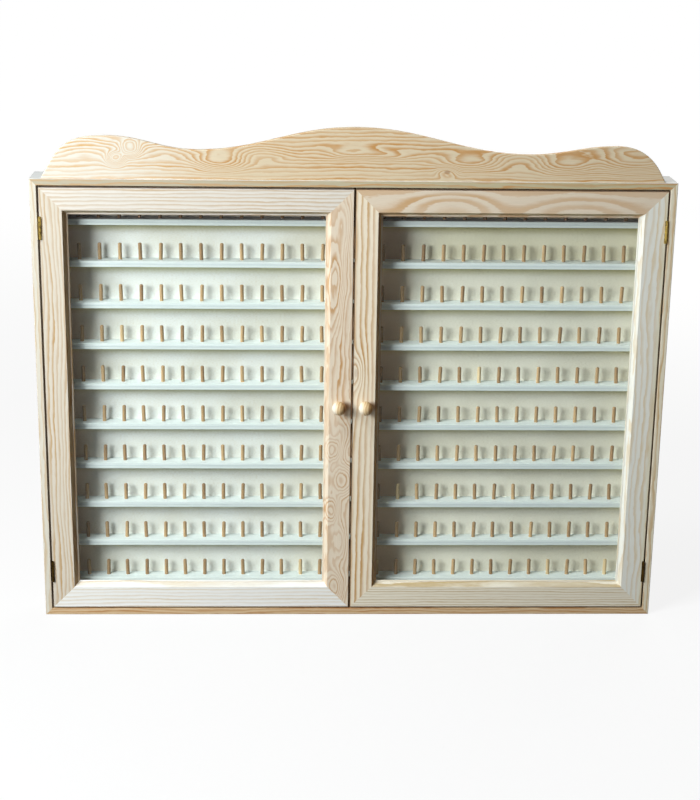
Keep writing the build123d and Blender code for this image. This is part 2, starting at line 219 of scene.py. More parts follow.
def buildPineRings(settings):  # growth rings cut by a board's face, X along the grain
    tree, start, end = newGroup(
        "pineRings",
        [("Vector", "Vector", None), ("Eyes", "Float", 0.0), ("Knots", "Float", 0.0),
         ("Across", "Float", 0.0), ("Depth", "Float", 30.0), ("Spacing", "Float", 4.5),
         ("Drift", "Float", 6.0), ("Waver", "Float", 0.4), ("Boldness", "Float", 0.8),
         ("Onset", "Float", 0.3), ("Full", "Float", 0.84),
         ("Seed", "Float", 0.0), ("Early", "Color", tone(240, 232, 212)),
         ("Late", "Color", tone(208, 170, 118))],
        [("Color", "Color"), ("Height", "Float"), ("Roughness", "Float")])
    seedX, seedY = [reckon(tree, "MULTIPLY", start["Seed"], turn)
                    for turn in settings["seedTurn"]]
    offset = put(tree, "CombineXYZ", {"X": seedX, "Y": seedY, "Z": start["Seed"]}).outputs[0]

    def cells(name, *detail):
        return noise(tree, stretch(tree, start["Vector"], settings[name], offset),
                     *detail).outputs

    slow = put(tree, "SeparateColor", {"Color": cells("slowCells")["Color"]})
    place = axes(tree, start["Vector"])
    reach = reckon(tree, "MULTIPLY", start["Drift"], settings["driftReach"])
    sideways = reckon(tree, "MULTIPLY", reckon(tree, "SUBTRACT", slow.outputs[0], 0.5), reach)
    inwards = reckon(tree, "MULTIPLY", reckon(tree, "SUBTRACT", slow.outputs[1], 0.5), reach)
    across = reckon(tree, "ADD", reckon(tree, "SUBTRACT", place["Y"], start["Across"]), sideways)
    depth = reckon(tree, "ADD", reckon(tree, "SUBTRACT", place["Z"], start["Depth"]), inwards)
    radius = reckon(tree, "SQRT", reckon(tree, "ADD", reckon(tree, "MULTIPLY", across, across),
                                         reckon(tree, "MULTIPLY", depth, depth)))
    ring = reckon(tree, "ADD", reckon(tree, "DIVIDE", radius, start["Spacing"]), start["Eyes"])
    wave, ragged = cells("waveCells")["Fac"], cells("raggedCells")["Fac"]
    sway = reckon(tree, "MULTIPLY", reckon(tree, "SUBTRACT", wave, 0.5), start["Waver"])
    ring = reckon(tree, "ADD", ring, reckon(tree, "MULTIPLY", sway, settings["swayReach"]))
    ring = reckon(tree, "ADD", ring, reckon(tree, "MULTIPLY", ragged, settings["raggedReach"]))
    year = reckon(tree, "FLOOR", ring)
    season = reckon(tree, "FRACT", ring)
    luck = put(tree, "TexWhiteNoise", {"W": reckon(tree, "ADD", year, start["Seed"])},
               noise_dimensions="1D").outputs["Value"]
    late = reckon(tree, "MULTIPLY", ramp(tree, season, start["Onset"], start["Full"]),
                  ramp(tree, season, *settings["yearEnd"]))
    late = reckon(tree, "MULTIPLY", late, ramp(tree, luck, *settings["yearLuck"], False))
    cloud = cells("cloudCells")["Fac"]
    late = reckon(tree, "MULTIPLY", late, ramp(tree, cloud, *settings["cloudLate"]))
    late = reckon(tree, "MULTIPLY", late, start["Boldness"])
    fibre = cells("fibreCells", 3.0, 0.6)["Fac"]
    fleck = ramp(tree, cells("fleckCells", 1.0)["Fac"], *settings["fleckShare"])
    color = mixColors(tree, late, start["Early"], start["Late"])
    color = mixColors(tree, start["Knots"], color, tone(*settings["knot"]))
    shade = ramp(tree, fibre, *settings["fibreShade"], False)
    shade = reckon(tree, "SUBTRACT", shade,
                   reckon(tree, "MULTIPLY", fleck, settings["fleckShade"]))
    shade = reckon(tree, "MULTIPLY", shade, ramp(tree, cloud, *settings["cloudShade"], False))
    shaded = put(tree, "VectorMath", {"Scale": shade}, operation="SCALE")
    feed(tree, shaded.inputs[0], color)
    feed(tree, end["Color"], shaded.outputs[0])
    raised = reckon(tree, "MULTIPLY", late, settings["lateHeight"])
    feed(tree, end["Height"], reckon(tree, "ADD", raised, fibre))
    feed(tree, end["Roughness"], reckon(
        tree, "SUBTRACT", ramp(tree, fibre, *settings["fibreRoughness"], False),
        reckon(tree, "MULTIPLY", late, settings["lateRoughness"])))


eyeSettings = {"falling": 2.6, "knotEnds": (0.4, 0.18)}


def buildGrainEye(settings):  # a place where the rings bulge, and the knot that may stand in it
    tree, start, end = newGroup(
        "grainEye",
        [("Vector", "Vector", None), ("Centre", "Vector", None), ("Size", "Vector", (10, 5, 9)),
         ("Rise", "Float", 3.0), ("Knot", "Float", 0.0)],
        [("Rise", "Float"), ("Knot", "Float")])
    away = put(tree, "VectorMath", operation="SUBTRACT")
    feed(tree, away.inputs[0], start["Vector"])
    feed(tree, away.inputs[1], start["Centre"])
    near = put(tree, "VectorMath", operation="DIVIDE")
    feed(tree, near.inputs[0], away.outputs[0])
    feed(tree, near.inputs[1], start["Size"])
    span = put(tree, "VectorMath", {"Vector": near.outputs[0]}, operation="LENGTH")
    span = span.outputs["Value"]
    falling = reckon(tree, "EXPONENT", reckon(
        tree, "MULTIPLY", reckon(tree, "POWER", span, settings["falling"]), -1.0))
    feed(tree, end["Rise"], reckon(tree, "MULTIPLY", falling, start["Rise"]))
    feed(tree, end["Knot"], reckon(
        tree, "MULTIPLY", ramp(tree, span, *settings["knotEnds"]), start["Knot"]))


rubSettings = {"cells": (14.0, 14.0, 14.0), "ends": (0.1, 0.9), "worn": (0.35, 0.65)}


def buildEdgeRub(settings):  # 1 along the edges of a box, where hands and cloths rub
    tree, start, end = newGroup(
        "edgeRub",
        [("Vector", "Vector", None), ("Low", "Vector", None), ("High", "Vector", None),
         ("Width", "Float", 1.2)],
        [("Mask", "Float")])
    masks = []
    for name, sign in (("Low", 1.0), ("High", -1.0)):
        gap = put(tree, "VectorMath", operation="SUBTRACT")
        feed(tree, gap.inputs[0], start["Vector"])
        feed(tree, gap.inputs[1], start[name])
        masks.append([reckon(tree, "MULTIPLY", axis, sign)
                      for axis in axes(tree, gap.outputs[0])])
    faces = []
    for below, above in zip(*masks):
        nearest = reckon(tree, "MINIMUM", below, above)
        faces.append(reckon(tree, "SUBTRACT", 1.0, reckon(
            tree, "DIVIDE", nearest, start["Width"])))
    faces = [reckon(tree, "MAXIMUM", face, 0.0) for face in faces]
    pairs = [reckon(tree, "MULTIPLY", faces[a], faces[b]) for a, b in ((0, 1), (1, 2), (0, 2))]
    top = reckon(tree, "MAXIMUM", reckon(tree, "MAXIMUM", pairs[0], pairs[1]), pairs[2])
    worn = noise(tree, stretch(tree, start["Vector"], settings["cells"]), 3.0)
    feed(tree, end["Mask"], reckon(tree, "MULTIPLY", ramp(tree, top, *settings["ends"]),
                                   ramp(tree, worn.outputs["Fac"], *settings["worn"])))


skinSettings = {"lineCells": (0.35, 0.35, 9.0), "patchCells": (2.4, 2.4, 3.4),
                "dullShare": (0.42, 0.70), "roughnessReach": 0.14}


def buildMetalSkin(settings):  # fine drawing lines and dull patches on small metal parts
    tree, start, end = newGroup(
        "metalSkin",
        [("Vector", "Vector", None), ("Bright", "Color", None), ("Dull", "Color", None),
         ("Polish", "Float", 0.3)],
        [("Color", "Color"), ("Roughness", "Float"), ("Height", "Float")])
    lines = noise(tree, stretch(tree, start["Vector"], settings["lineCells"]), 2.0)
    lines = lines.outputs["Fac"]
    patch = noise(tree, stretch(tree, start["Vector"], settings["patchCells"]), 3.0)
    patch = patch.outputs["Fac"]
    feed(tree, end["Color"], mixColors(tree, ramp(tree, patch, *settings["dullShare"]),
                                       start["Bright"], start["Dull"]))
    feed(tree, end["Roughness"], reckon(tree, "ADD", start["Polish"], reckon(
        tree, "MULTIPLY", reckon(tree, "ADD", lines, patch), settings["roughnessReach"])))
    feed(tree, end["Height"], lines)


buildPineRings(ringSettings)
buildGrainEye(eyeSettings)
buildEdgeRub(rubSettings)
buildMetalSkin(skinSettings)


def growRings(tree, grain, settings, **own):  # the growth rings of one piece of pine
    values = {"eyes": 0.0, "knots": 0.0, "onset": 0.3, "full": 0.84, **settings, **own}
    inputs = {"Vector": grain}
    for name in ("eyes", "knots", "across", "depth", "spacing", "drift", "waver", "boldness",
                 "onset", "full", "seed", "early", "late"):
        value = values[name]
        inputs[name.capitalize()] = tone(*value) if isinstance(value, tuple) else value
    return fillGroup(tree, "pineRings", inputs)


print("shared effects built")


# Pine boards. Each has its own growth rings, in millimetres of the case's frame. Across and
# depth are where the middle of the tree lay. An eye is (along, across, half length along,
# half width across, rings that it lifts, knot strength).

laidBy = {
    "level": ("X", "Z", "Y"),  # grain along X, face to the front
    "upright": ("Z", "X", "Y"),  # grain along Z, face to the front
    "flat": ("X", "Y", "Z"),  # grain along X, face up
    "sideways": ("Z", "Y", "X"),  # grain along Z, face to the side
}

boardSettings = {
    "crest_board": {
        "lie": "level", "across": 708.0, "depth": -6.0, "spacing": 4.7, "drift": 3.6,
        "waver": 0.36, "boldness": 0.95, "onset": 0.18, "full": 0.86, "seed": 3.1,
        "early": (234, 229, 216), "earlyRight": (226, 209, 178), "fade": (-330.0, -150.0),
        "late": (220, 180, 126), "lateRight": (201, 150, 90),
        "eyes": [(-312.0, 638.0, 11.0, 9.0, -6.4, 0.0), (-293.0, 651.0, 13.0, 11.0, -4.9, 0.0),
                 (-352.0, 650.0, 34.0, 14.0, 1.7, 0.0), (-250.0, 650.0, 24.0, 13.0, 1.3, 0.0),
                 (-176.0, 636.0, 32.0, 14.0, -4.6, 0.0), (-122.0, 644.0, 30.0, 12.0, 1.7, 0.0),
                 (-3.0, 648.0, 34.0, 8.0, -2.5, 0.0), (44.0, 645.0, 24.0, 6.0, -1.6, 0.0),
                 (120.0, 624.0, 13.0, 8.0, 3.0, 0.5), (150.0, 636.0, 36.0, 11.0, -3.2, 0.0),
                 (214.0, 640.0, 28.0, 12.0, 1.8, 0.0), (277.0, 634.0, 34.0, 14.0, -3.6, 0.0),
                 (370.0, 640.0, 50.0, 18.0, -5.0, 0.0)],
    },
    "top_board": {
        "lie": "flat", "across": -30.0, "depth": 530.0, "spacing": 6.0, "drift": 4.0,
        "waver": 0.35, "boldness": 1.0, "seed": 8.3,
        "early": (195, 186, 162), "earlyRight": (199, 188, 152), "fade": (-320.0, 320.0),
        # the last colour here is painted light on the top face, paler and bluer where the sky
        # lights it
        "late": (204, 158, 104), "lateRight": (198, 150, 96), "skyLitTop": (222, 228, 232),
    },
    "bottom_board": {
        "lie": "flat", "across": -30.0, "depth": -70.0, "spacing": 4.6, "drift": 4.0,
        "waver": 0.3, "boldness": 1.0, "seed": 15.7,
        "early": (222, 194, 154), "late": (186, 134, 84),
    },
    "left_side": {
        "lie": "sideways", "across": -60.0, "depth": -390.0, "spacing": 5.4, "drift": 4.0,
        "waver": 0.3, "boldness": 0.9, "seed": 21.9,
        "early": (226, 221, 206), "late": (208, 180, 138),
    },
    "right_side": {
        "lie": "sideways", "across": -52.0, "depth": 396.0, "spacing": 5.0, "drift": 4.0,
        "waver": 0.3, "boldness": 0.8, "seed": 27.2,
        "early": (240, 232, 208), "late": (204, 166, 110),
    },
    "left_door_hinge_stile": {
        "lie": "upright", "across": -470.0, "depth": -4.0, "spacing": 5.2, "drift": 5.0,
        "waver": 0.22, "boldness": 0.85, "seed": 33.4,
        "early": (223, 215, 199), "late": (192, 154, 102),
    },
    "left_door_lock_stile": {
        "lie": "upright", "across": 40.0, "depth": -8.0, "spacing": 7.0, "drift": 4.0,
        "waver": 0.5, "boldness": 0.9, "seed": 38.8,
        "early": (235, 220, 198), "late": (200, 154, 102),
        "eyes": [(243.0, -24.0, 16.0, 10.0, 4.2, 0.0), (200.0, -8.0, 22.0, 16.0, 5.6, 0.0),
                 (156.0, -26.0, 18.0, 10.0, 3.8, 0.0), (266.0, -10.0, 18.0, 10.0, 2.4, 0.0),
                 (42.0, -19.0, 20.0, 11.0, 4.2, 0.0), (558.0, -14.0, 30.0, 9.0, 2.6, 0.0),
                 (506.0, -22.0, 34.0, 10.0, 2.8, 0.0), (469.0, -24.0, 28.0, 12.0, 2.8, 0.0),
                 (432.0, -24.0, 24.0, 10.0, 2.0, 0.0), (108.0, -14.0, 26.0, 12.0, 2.4, 0.0)],
    },
    "left_door_top_rail": {
        "lie": "level", "across": 520.0, "depth": 10.0, "spacing": 4.5, "drift": 2.0,
        "waver": 0.2, "boldness": 0.9, "seed": 44.1,
        "early": (231, 226, 216), "late": (198, 167, 126),
    },
    "left_door_bottom_rail": {
        "lie": "level", "across": -50.0, "depth": 10.0, "spacing": 4.7, "drift": 2.0,
        "waver": 0.15, "boldness": 0.8, "seed": 49.6,
        "early": (252, 252, 248), "late": (218, 196, 158),
    },
    "right_door_hinge_stile": {
        "lie": "upright", "across": 470.0, "depth": 0.0, "spacing": 6.0, "drift": 6.0,
        "waver": 0.3, "boldness": 0.75, "seed": 55.5,
        "early": (241, 241, 232), "earlyRight": (236, 230, 202), "fade": (405.0, 414.0),
        "late": (224, 202, 162), "lateRight": (216, 188, 140),
    },
    "right_door_lock_stile": {
        "lie": "upright", "across": 70.0, "depth": -8.0, "spacing": 7.4, "drift": 3.0,
        "waver": 0.12, "boldness": 1.0, "seed": 61.3,
        "early": (246, 234, 211), "late": (200, 156, 98),
        "eyes": [(352.0, 5.0, 22.0, 9.0, 2.2, 0.25), (333.0, 10.0, 60.0, 16.0, 0.8, 0.0)],
    },
    "right_door_top_rail": {
        "lie": "level", "across": 660.0, "depth": 40.0, "spacing": 26.0, "drift": 5.0,
        "waver": 0.1, "boldness": 0.8, "onset": 0.2, "full": 0.7, "seed": 66.7,
        "early": (231, 216, 194), "late": (203, 160, 108),
        "eyes": [(128.0, 577.0, 56.0, 20.0, 2.1, 0.0), (300.0, 572.0, 66.0, 22.0, 1.7, 0.0)],
    },
    "right_door_bottom_rail": {
        "lie": "level", "across": -60.0, "depth": 12.0, "spacing": 3.6, "drift": 2.0,
        "waver": 0.2, "boldness": 0.8, "seed": 72.4,
        "early": (243, 236, 218), "late": (196, 170, 120),
    },
}

sandedPine = {  # what all the boards share
    "bump": 0.22, "bumpDepth": 0.00018, "specular": 0.18,
    "edgeWidth": 1.3, "edgeTone": (158, 112, 70), "edgeAmount": 0.4,
    # painted shade: the gap tone darkens the doors' front edges, where the gaps lie in shadow
    "gapShadeTone": (84, 54, 34), "gapShadeAmount": 0.8, "gapShadeWidth": (1.0, 0.3), "gapShadeDepth": (4.0, 2.0),
    # painted shade on the door bevels that face away from the window
    "bevelSideShade": (212, 182, 150), "bevelTopShade": (244, 236, 214), "bevelShadeTurn": (0.4, 0.6),
    # painted shadow of each knob on its lock stile: its tone, place, reach and shape
    "knobShadow": (172, 142, 118), "knobShadowAt": (9.0, -1.5), "knobShadowEnds": (12.0, 2.0),
    "knobShadowShape": (1.0, 0.0, 1.15), "skyLitTopDepth": (0.7, 0.2), "skyLitTopAmount": 0.7,
    "eyeDepth": -27.0, "eyeReach": 30.0,
}


def knobShadowSpot(tree, where, knob):  # 1 beside a knob: the painted shadow that the knob casts on the stile
    low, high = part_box(knob)
    right, up = sandedPine["knobShadowAt"]
    away = put(tree, "VectorMath", operation="SUBTRACT")
    feed(tree, away.inputs[0], where)
    middle = (low + high) / 2 * perMetre
    feed(tree, away.inputs[1], (middle.x + right, low.y * perMetre, middle.z + up))
    flat = put(tree, "VectorMath", operation="MULTIPLY")
    feed(tree, flat.inputs[0], away.outputs[0])
    feed(tree, flat.inputs[1], sandedPine["knobShadowShape"])
    span = put(tree, "VectorMath", {"Vector": flat.outputs[0]}, operation="LENGTH")
    return ramp(tree, span.outputs["Value"], *sandedPine["knobShadowEnds"])


def doorGapShade(tree, where, door):  # 1 on the front edges of a door: painted shade, where the gaps lie in shadow
    boxes = [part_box(door + board) for board in ("_hinge_stile", "_lock_stile", "_top_rail")]
    low = [min(box[0][axis] for box in boxes) * perMetre for axis in range(3)]
    high = [max(box[1][axis] for box in boxes) * perMetre for axis in range(3)]
    split = axes(tree, where)
    gaps = []
    for axis in (0, 2):
        gaps.append(reckon(tree, "SUBTRACT", split[axis], low[axis]))
        gaps.append(reckon(tree, "SUBTRACT", high[axis], split[axis]))
    nearest = gaps[0]
    for gap in gaps[1:]:
        nearest = reckon(tree, "MINIMUM", nearest, gap)
    return reckon(tree, "MULTIPLY", ramp(tree, nearest, *sandedPine["gapShadeWidth"]), ramp(
        tree, reckon(tree, "SUBTRACT", split[1], low[1]), *sandedPine["gapShadeDepth"]))


def boardMaterial(name, settings):
    material, tree, surface = newMaterial(name + "Pine")
    where = millimetres(tree)
    place = axes(tree, where)
    grain = lay(tree, where, laidBy[settings["lie"]])
    lift, knots = 0.0, 0.0
    for along, across, length, width, rise, knot in settings.get("eyes", ()):
        eye = fillGroup(tree, "grainEye", {
            "Vector": grain, "Centre": (along, across, sandedPine["eyeDepth"]),
            "Size": (length, width, sandedPine["eyeReach"]), "Rise": rise, "Knot": knot})
        lift = reckon(tree, "ADD", lift, eye["Rise"])
        knots = reckon(tree, "MAXIMUM", knots, eye["Knot"])
    early, late = settings["early"], settings["late"]
    if "fade" in settings:  # the board's wood changes along its length
        along = ramp(tree, place["X"], *settings["fade"])
        early = mixColors(tree, along, tone(*early), tone(*settings["earlyRight"]))
        late = mixColors(tree, along, tone(*late), tone(*settings["lateRight"]))
    rings = growRings(tree, grain, settings, eyes=lift, knots=knots, early=early, late=late)
    low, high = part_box(name)
    rub = fillGroup(tree, "edgeRub", {"Vector": where, "Low": low * perMetre,
                                      "High": high * perMetre,
                                      "Width": sandedPine["edgeWidth"]})
    color = mixColors(tree, reckon(tree, "MULTIPLY", rub["Mask"], sandedPine["edgeAmount"]),
                      rings["Color"], tone(*sandedPine["edgeTone"]))
    if "_door" in name:
        door = name[:name.index("_door") + len("_door")]
        # painted shade along the doors' front edges, where the gaps lie in shadow
        gapShade = reckon(tree, "MULTIPLY", doorGapShade(tree, where, door), sandedPine["gapShadeAmount"])
        color = mixColors(tree, gapShade, color, tone(*sandedPine["gapShadeTone"]))
        turned = facing(tree)  # painted shade: the bevels that look away from the window are drawn browner
        start, end = sandedPine["bevelShadeTurn"]
        color = tint(tree, ramp(tree, turned["X"], start, end), color, sandedPine["bevelSideShade"])
        color = tint(tree, ramp(tree, turned["Z"], -start, -end), color, sandedPine["bevelTopShade"])
    if "_lock_stile" in name:
        # painted shadow that the knob casts on the lock stile
        color = tint(tree, knobShadowSpot(tree, where, door + "_knob"), color,
                     sandedPine["knobShadow"])
    if "skyLitTop" in settings:  # painted light: the top face is drawn paler and bluer, as the sky lights it
        paintedLight = ramp(tree, reckon(tree, "SUBTRACT", high.z * perMetre, place["Z"]),
                        *sandedPine["skyLitTopDepth"])
        color = mixColors(tree, reckon(tree, "MULTIPLY", paintedLight, sandedPine["skyLitTopAmount"]),
                          color, tone(*settings["skyLitTop"]))
    finishSurface(tree, surface, color, rings["Roughness"], rings["Height"], sandedPine)
    dress(material, name)


for boardName, board in boardSettings.items():
    boardMaterial(boardName, board)
print("pine boards:", len(boardSettings))


# Glazing beads: one fine-grained pine strip round each pane, seen from inside

beadSettings = {
    "across": 30.0, "depth": 12.0, "spacing": 3.2, "drift": 1.0, "waver": 0.2,
    "boldness": 0.6, "early": (236, 224, 198), "late": (205, 172, 124), "bump": 0.2,
    "bumpDepth": 0.00015, "specular": 0.22,
}


def beadMaterial(name, seed):
    material, tree, surface = newMaterial(name + "Pine")
    where = millimetres(tree)
    low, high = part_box(name)
    place = axes(tree, where)
    middle = (low + high) / 2 * perMetre
    half = (high - low) / 2 * perMetre
    besideX = reckon(tree, "SUBTRACT", half.x, awayFrom(tree, place["X"], middle.x))
    besideZ = reckon(tree, "SUBTRACT", half.z, awayFrom(tree, place["Z"], middle.z))
    upright = reckon(tree, "LESS_THAN", besideX, besideZ)
    grain = put(tree, "Mix", data_type="VECTOR")
    feed(tree, grain.inputs[0], upright)
    feed(tree, grain.inputs[4], lay(tree, where, laidBy["level"]))
    feed(tree, grain.inputs[5], lay(tree, where, laidBy["upright"]))
    rings = growRings(tree, grain.outputs[1], beadSettings, seed=seed)
    finishSurface(tree, surface, rings["Color"], rings["Roughness"], rings["Height"],
                  beadSettings)
    dress(material, name)


for beadSeed, sideName in enumerate(("left", "right")):
    beadMaterial(sideName + "_door_glazing_beads", 80.0 + beadSeed)


# Knobs: turned pine, the rings standing as stripes down the ball

knobSettings = {
    "spacing": 3.4, "across": 0.0, "depth": -110.0, "drift": 1.0, "waver": 0.25,
    "boldness": 0.95, "early": (232, 206, 160), "late": (176, 118, 62), "seed": 90.0,
    "bump": 0.15, "bumpDepth": 0.0001, "specular": 0.2, "coat": 0.12, "coatRoughness": 0.2,
    # painted light on the knob's window side, painted shade on the other side
    "paintedLight": (255, 249, 232), "paintedLightTurn": (-0.1, -0.75), "paintedLightAmount": 0.8,
    "knobShade": (214, 178, 134), "knobShadeTurn": (0.1, 0.8),
}


def knobMaterial(settings):
    material, tree, surface = newMaterial("knobPine")
    rings = growRings(tree, lay(tree, millimetres(tree), laidBy["sideways"]), settings)
    across = facing(tree)["X"]  # painted light and shade: pale on the window's side, darker on the other
    color = mixColors(tree, ramp(tree, across, *settings["paintedLightTurn"], 0.0,
                                 settings["paintedLightAmount"]),
                      rings["Color"], tone(*settings["paintedLight"]))
    color = tint(tree, ramp(tree, across, *settings["knobShadeTurn"]), color, settings["knobShade"])
    finishSurface(tree, surface, color, rings["Roughness"], rings["Height"], settings)
    surface.inputs["Coat Weight"].default_value = settings["coat"]
    surface.inputs["Coat Roughness"].default_value = settings["coatRoughness"]
    dress(material, "left_door_knob", "right_door_knob")


knobMaterial(knobSettings)
print("beads and knobs done")


# Shelves: pale washed pine, its grain only just showing

shelfSettings = {
    "count": 10, "early": (235, 243, 243), "late": (219, 229, 229), "spacing": 5.0,
    "drift": 3.0, "waver": 0.3, "boldness": 0.55, "depthBelow": 26.0, "acrossFrom": -20.0,
    "acrossStep": -6.0, "seedFrom": 100.0, "seedStep": 7.0,
    "bump": 0.15, "bumpDepth": 0.00015, "specular": 0.18,
    "edgeTone": (240, 246, 244), "edgeWidth": 1.6, "edgeAmount": 0.6,
    "line": (239, 241, 243), "lineHalf": 1.9, "lineFront": (0.9, 0.3),
    # painted shade on the shelf fronts behind the door gap
    "gapShade": (138, 114, 94), "gapShadeMiddle": 1.0, "gapShadeEnds": (4.0, 2.2), "gapShadeFront": (5.0, 1.0),
    # painted shade on the top of the first shelf, under the top rails
    "railShade": (196, 186, 188), "railShadeFront": (0.4, 1.2),
}


def shelfMaterial(row, settings):
    name = f"shelf_{row:02d}"
    low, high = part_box(name)
    material, tree, surface = newMaterial(name + "Pine")
    where = millimetres(tree)
    place = axes(tree, where)
    rings = growRings(
        tree, lay(tree, where, laidBy["flat"]), settings,
        across=settings["acrossFrom"] + settings["acrossStep"] * (row % 3),
        depth=low.z * perMetre - settings["depthBelow"],
        seed=settings["seedFrom"] + settings["seedStep"] * row)
    rub = fillGroup(tree, "edgeRub", {"Vector": where, "Low": low * perMetre,
                                      "High": high * perMetre, "Width": settings["edgeWidth"]})
    color = mixColors(tree, reckon(tree, "MULTIPLY", rub["Mask"], settings["edgeAmount"]),
                      rings["Color"], tone(*settings["edgeTone"]))
    behindFront = reckon(tree, "SUBTRACT", place["Y"], low.y * perMetre)
    offMiddle = awayFrom(tree, place["Z"], (low.z + high.z) / 2 * perMetre)
    line = reckon(tree, "MULTIPLY", ramp(tree, offMiddle, settings["lineHalf"], 0.0),
                  ramp(tree, behindFront, *settings["lineFront"]))
    color = tint(tree, line, color, settings["line"])
    if row == 1:  # painted shade: the doors' top rails keep the light off the top of the first shelf
        color = tint(tree, ramp(tree, behindFront, *settings["railShadeFront"]), color,
                     settings["railShade"])
    aside = awayFrom(tree, place["X"], settings["gapShadeMiddle"])
    gapShade = reckon(tree, "MULTIPLY", ramp(tree, aside, *settings["gapShadeEnds"]),
                  ramp(tree, behindFront, *settings["gapShadeFront"]))
    color = tint(tree, gapShade, color, settings["gapShade"])  # painted shade behind the door gap
    finishSurface(tree, surface, color, rings["Roughness"], rings["Height"], settings)
    dress(material, name)


for shelfRow in range(1, shelfSettings["count"] + 1):
    shelfMaterial(shelfRow, shelfSettings)


# Pegs: hardwood dowels, each its own shade, a few of them pale

pegSettings = {
    "pitch": 27.2, "rowPitch": 56.7, "rowStart": 34.0, "dark": (160, 127, 92),
    "middle": (178, 145, 106), "light": (200, 166, 124), "pale": (226, 200, 156),
    # painted shade on the first row of pegs, under the top rails
    "paleShare": 0.985, "paleBlend": 0.02, "railShade": (204, 190, 182), "shiftReach": 90.0,
    "stripeCells": (1.1, 1.1, 26.0), "stripeShade": (0.3, 0.7, 0.84, 1.1),
    "poreCells": (0.16, 0.16, 3.2), "poreShade": (0.62, 0.74, 0.0, 0.22),
    "poreRoughness": (0.3, 0.7, 0.44, 0.62), "railShadeBelow": (-1.0, 0.0),
    "specular": 0.2, "bump": 0.2, "bumpDepth": 0.0001,
}


def pegMaterial(settings):
    material, tree, surface = newMaterial("pegDowel")
    where = millimetres(tree)
    place = axes(tree, where)
    column = reckon(tree, "FLOOR", reckon(tree, "DIVIDE", place["X"], settings["pitch"]))
    above = reckon(tree, "SUBTRACT", place["Z"], settings["rowStart"])
    row = reckon(tree, "FLOOR", reckon(tree, "DIVIDE", above, settings["rowPitch"]))
    which = put(tree, "CombineXYZ", {"X": column, "Y": row}).outputs[0]
    luck = put(tree, "TexWhiteNoise", {"Vector": which}, noise_dimensions="2D").outputs
    shades = put(tree, "ValToRGB", {"Fac": luck["Value"]})
    stops = shades.color_ramp.elements
    stops[0].color, stops[1].color = tone(*settings["dark"]), tone(*settings["light"])
    stops.new(0.5).color = tone(*settings["middle"])
    stops[2].position = settings["paleShare"] - settings["paleBlend"]
    stops.new(settings["paleShare"]).color = tone(*settings["pale"])
    shifted = put(tree, "VectorMath", operation="MULTIPLY_ADD")  # no two pegs share their grain
    feed(tree, shifted.inputs[0], luck["Color"])
    feed(tree, shifted.inputs[1], (settings["shiftReach"],) * 3)
    feed(tree, shifted.inputs[2], where)
    stripe = noise(tree, stretch(tree, shifted.outputs[0], settings["stripeCells"]), 2.0)
    pore = noise(tree, stretch(tree, shifted.outputs[0], settings["poreCells"]), 1.0)
    pore = pore.outputs["Fac"]
    shade = reckon(tree, "SUBTRACT", ramp(tree, stripe.outputs["Fac"], *settings["stripeShade"]),
                   ramp(tree, pore, *settings["poreShade"]))
    color = put(tree, "VectorMath", {"Scale": shade}, operation="SCALE")
    feed(tree, color.inputs[0], shades.outputs["Color"])
    height = reckon(tree, "SUBTRACT", place["Z"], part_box("shelf_01")[1].z * perMetre)
    color = tint(tree, ramp(tree, height, *settings["railShadeBelow"]), color.outputs[0],
                 settings["railShade"])  # painted shade: the top rails keep the light off the first row
    finishSurface(tree, surface, color, ramp(tree, pore, *settings["poreRoughness"]), pore,
                  settings)
    dress(material, *[f"pegs_{row:02d}" for row in range(1, shelfSettings["count"] + 1)])


pegMaterial(pegSettings)
print("shelves and pegs done")


# Back panel: thin board, painted cream in front and left raw behind

backSettings = {
    "left": (248, 251, 250), "right": (252, 249, 236), "deep": (218, 212, 192),
    "fade": (-160.0, 60.0),
    "cloudCells": (140.0, 60.0, 90.0), "cloudDeep": (0.3, 0.7, 0.0, 0.45),
    "fibreCells": (3.0, 2.0, 0.8), "fibreDeep": (0.4, 0.7, 0.0, 0.35),
    "speckCells": (0.7, 0.7, 0.7), "speckDeep": (0.62, 0.75, 0.0, 0.5),
    "fibreRoughness": (0.3, 0.7, 0.5, 0.68),
    # painted shade: the tints from here to the gap line darken the panel under the shelves,
    # beside the walls and stiles, in the upper bays and behind the door gap
    "shelfShade": (228, 223, 158), "shelfShadeHigh": 16.0,
    "wallShade": (240, 212, 190), "wall": (-335.0, -388.0),
    "stileShade": (244, 222, 208), "stile": (30.0, 60.0, 30.0),
    "firstBayShade": (240, 238, 226), "inRight": (60.0, 130.0), "bayBelow": (-70.0, -50.0),
    "railShade": (238, 226, 218), "railShadeBelow": (-3.0, 1.0),
    "gapShade": (168, 148, 130), "gapShadeMiddle": 1.4, "gapShadeEnds": (4.0, 1.6),
    "front": (-0.3, -0.7), "raw": (202, 166, 122), "rawDeep": (160, 120, 80),
    "bump": 0.18, "bumpDepth": 0.00012, "specular": 0.12,
}


